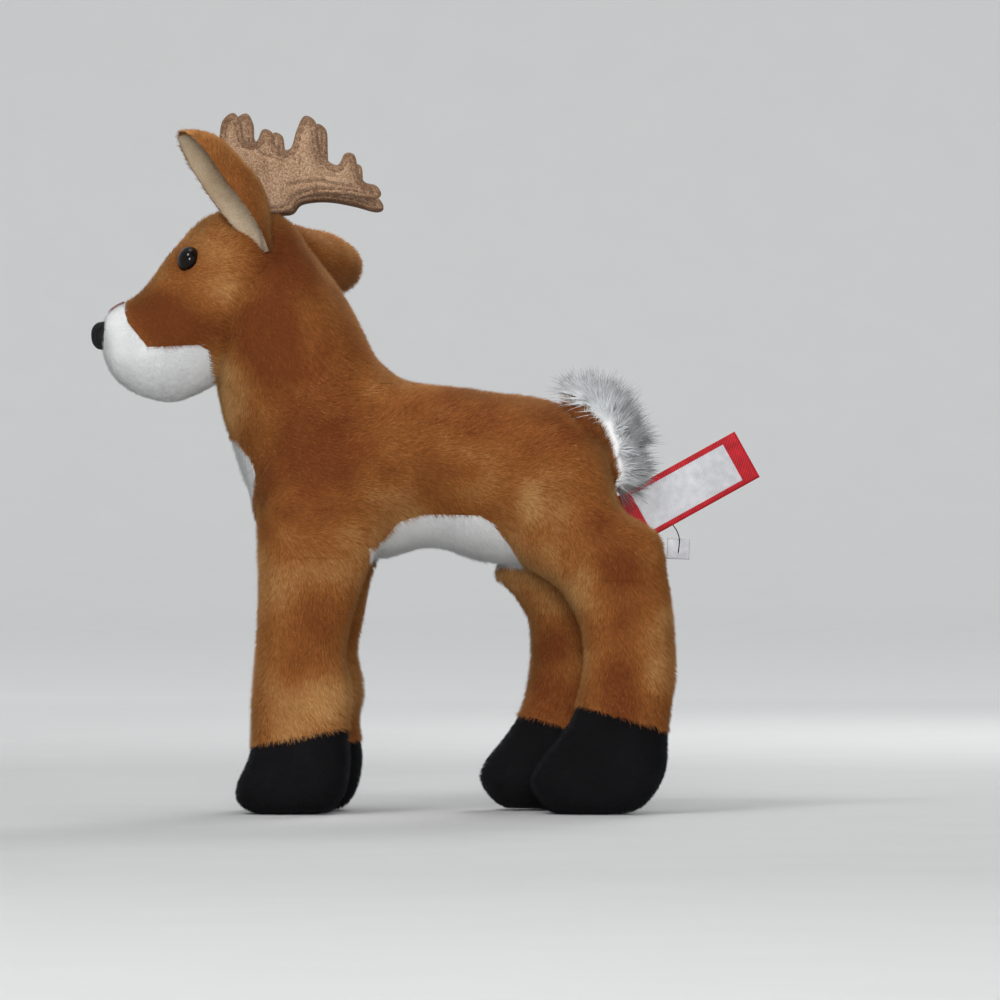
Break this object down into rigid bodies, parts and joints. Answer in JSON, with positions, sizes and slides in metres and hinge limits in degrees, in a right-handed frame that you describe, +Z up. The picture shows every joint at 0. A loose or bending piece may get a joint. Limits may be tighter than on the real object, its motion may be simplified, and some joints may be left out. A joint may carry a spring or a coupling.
{
  "type": "plush deer",
  "caption": "Small stuffed stag that stands on its hooves, with soft swinging legs, a nodding head, folding ears, felt antlers and a shaggy tail.",
  "frame": {"origin": "middle of the bounding box at the level of the soles", "axes": "+Z up, the nose towards -X, the toy's left side towards -Y"},
  "size_m": [0.2008, 0.0873, 0.2103],
  "materials": {
    "tan_plush": "short tan pile",
    "white_plush": "short white pile",
    "cream_plush": "short cream pile",
    "black_plush": "black velvety pile",
    "antler_felt": "brushed suede-like felt",
    "long_white_pile": "long shaggy pile with dark tips",
    "fibre_filling": "loose polyester fibre",
    "nose_thread": "satin-stitched black thread",
    "eye_plastic": "polished black",
    "washer_plastic": "moulded white",
    "red_ribbon": "woven satin ribbon",
    "white_satin": "satin"
  },
  "bodies": {
    "body": {"trunk_cover": "tan_plush", "belly_gusset": "white_plush", "trunk_stuffing": "fibre_filling", "neck_cover": "tan_plush", "chest_bib": "white_plush", "neck_stuffing": "fibre_filling"},
    "head": {"head_cover": "tan_plush", "muzzle_cover": "white_plush", "head_stuffing": "fibre_filling", "nose_stitching": "nose_thread", "eye_left": "eye_plastic", "eye_right": "eye_plastic", "eye_washer_left": "washer_plastic", "eye_washer_right": "washer_plastic"},
    "ear_left": {"ear_left_back": "tan_plush", "ear_left_lining": "cream_plush"},
    "antler_left": {"antler_left_front_felt": "antler_felt", "antler_left_wadding": "fibre_filling", "antler_left_back_felt": "antler_felt"},
    "ear_right": {"ear_right_back": "tan_plush", "ear_right_lining": "cream_plush"},
    "antler_right": {"antler_right_front_felt": "antler_felt", "antler_right_wadding": "fibre_filling", "antler_right_back_felt": "antler_felt"},
    "fore_leg_left": {"fore_left_leg_cover": "tan_plush", "fore_left_hoof": "black_plush", "fore_left_stuffing": "fibre_filling"},
    "fore_leg_right": {"fore_right_leg_cover": "tan_plush", "fore_right_hoof": "black_plush", "fore_right_stuffing": "fibre_filling"},
    "hind_leg_left": {"hind_left_leg_cover": "tan_plush", "hind_left_hoof": "black_plush", "hind_left_stuffing": "fibre_filling"},
    "hind_leg_right": {"hind_right_leg_cover": "tan_plush", "hind_right_hoof": "black_plush", "hind_right_stuffing": "fibre_filling"},
    "tail": {"tail_panel": "tan_plush", "tail_fluff": "long_white_pile"},
    "label": {"woven_label": "red_ribbon"},
    "tab": {"satin_tab": "white_satin"}
  },
  "joints": [
    {"name": "head_nod", "type": "hinge", "parent": "body", "child": "head", "pos_m": [-0.03467, -0.00491, 0.13713], "axis": [0, 1, 0], "range_deg": [-12, 12], "stiffness_Nm_per_rad": 0.3},
    {"name": "fore_leg_left_swing", "type": "hinge", "parent": "body", "child": "fore_leg_left", "pos_m": [-0.03327, -0.02041, 0.08], "axis": [0, 1, 0], "range_deg": [-15, 15], "stiffness_Nm_per_rad": 0.3},
    {"name": "fore_leg_right_swing", "type": "hinge", "parent": "body", "child": "fore_leg_right", "pos_m": [-0.03327, 0.01059, 0.08], "axis": [0, 1, 0], "range_deg": [-15, 15], "stiffness_Nm_per_rad": 0.3},
    {"name": "hind_leg_left_swing", "type": "hinge", "parent": "body", "child": "hind_leg_left", "pos_m": [0.04761, -0.02041, 0.079], "axis": [0, 1, 0], "range_deg": [-15, 15], "stiffness_Nm_per_rad": 0.3},
    {"name": "hind_leg_right_swing", "type": "hinge", "parent": "body", "child": "hind_leg_right", "pos_m": [0.04761, 0.01059, 0.079], "axis": [0, 1, 0], "range_deg": [-15, 15], "stiffness_Nm_per_rad": 0.3},
    {"name": "ear_left_fold", "type": "hinge", "parent": "head", "child": "ear_left", "pos_m": [-0.04966, -0.02344, 0.16929], "axis": [0.6435, 0.31, 0.6999], "range_deg": [-3, 20], "stiffness_Nm_per_rad": 0.004},
    {"name": "antler_left_flex", "type": "hinge", "parent": "head", "child": "antler_left", "pos_m": [-0.04694, -0.01399, 0.17938], "axis": [0.9865, 0.0865, -0.139], "range_deg": [-6, 6], "stiffness_Nm_per_rad": 0.01},
    {"name": "ear_right_fold", "type": "hinge", "parent": "head", "child": "ear_right", "pos_m": [-0.04966, 0.01362, 0.16929], "axis": [0.5677, -0.305, 0.7647], "range_deg": [-3, 20], "stiffness_Nm_per_rad": 0.004},
    {"name": "antler_right_flex", "type": "hinge", "parent": "head", "child": "antler_right", "pos_m": [-0.04694, 0.00416, 0.17938], "axis": [0.9865, -0.0865, -0.139], "range_deg": [-6, 6], "stiffness_Nm_per_rad": 0.01},
    {"name": "tail_flex", "type": "hinge", "parent": "body", "child": "tail", "pos_m": [0.05869, -0.00485, 0.10184], "axis": [-0.0503, 0.9985, -0.0211], "range_deg": [-3, 14], "stiffness_Nm_per_rad": 0.008},
    {"name": "label_flap", "type": "hinge", "parent": "body", "child": "label", "pos_m": [0.06412, -0.00491, 0.0898], "axis": [0.4848, 0, -0.8746], "range_deg": [-30, 30], "stiffness_Nm_per_rad": 0.0008},
    {"name": "tab_flap", "type": "hinge", "parent": "body", "child": "tab", "pos_m": [0.07253, -0.00491, 0.07903], "axis": [-0.2079, 0, -0.9781], "range_deg": [-30, 30], "stiffness_Nm_per_rad": 0.00005}
  ]
}
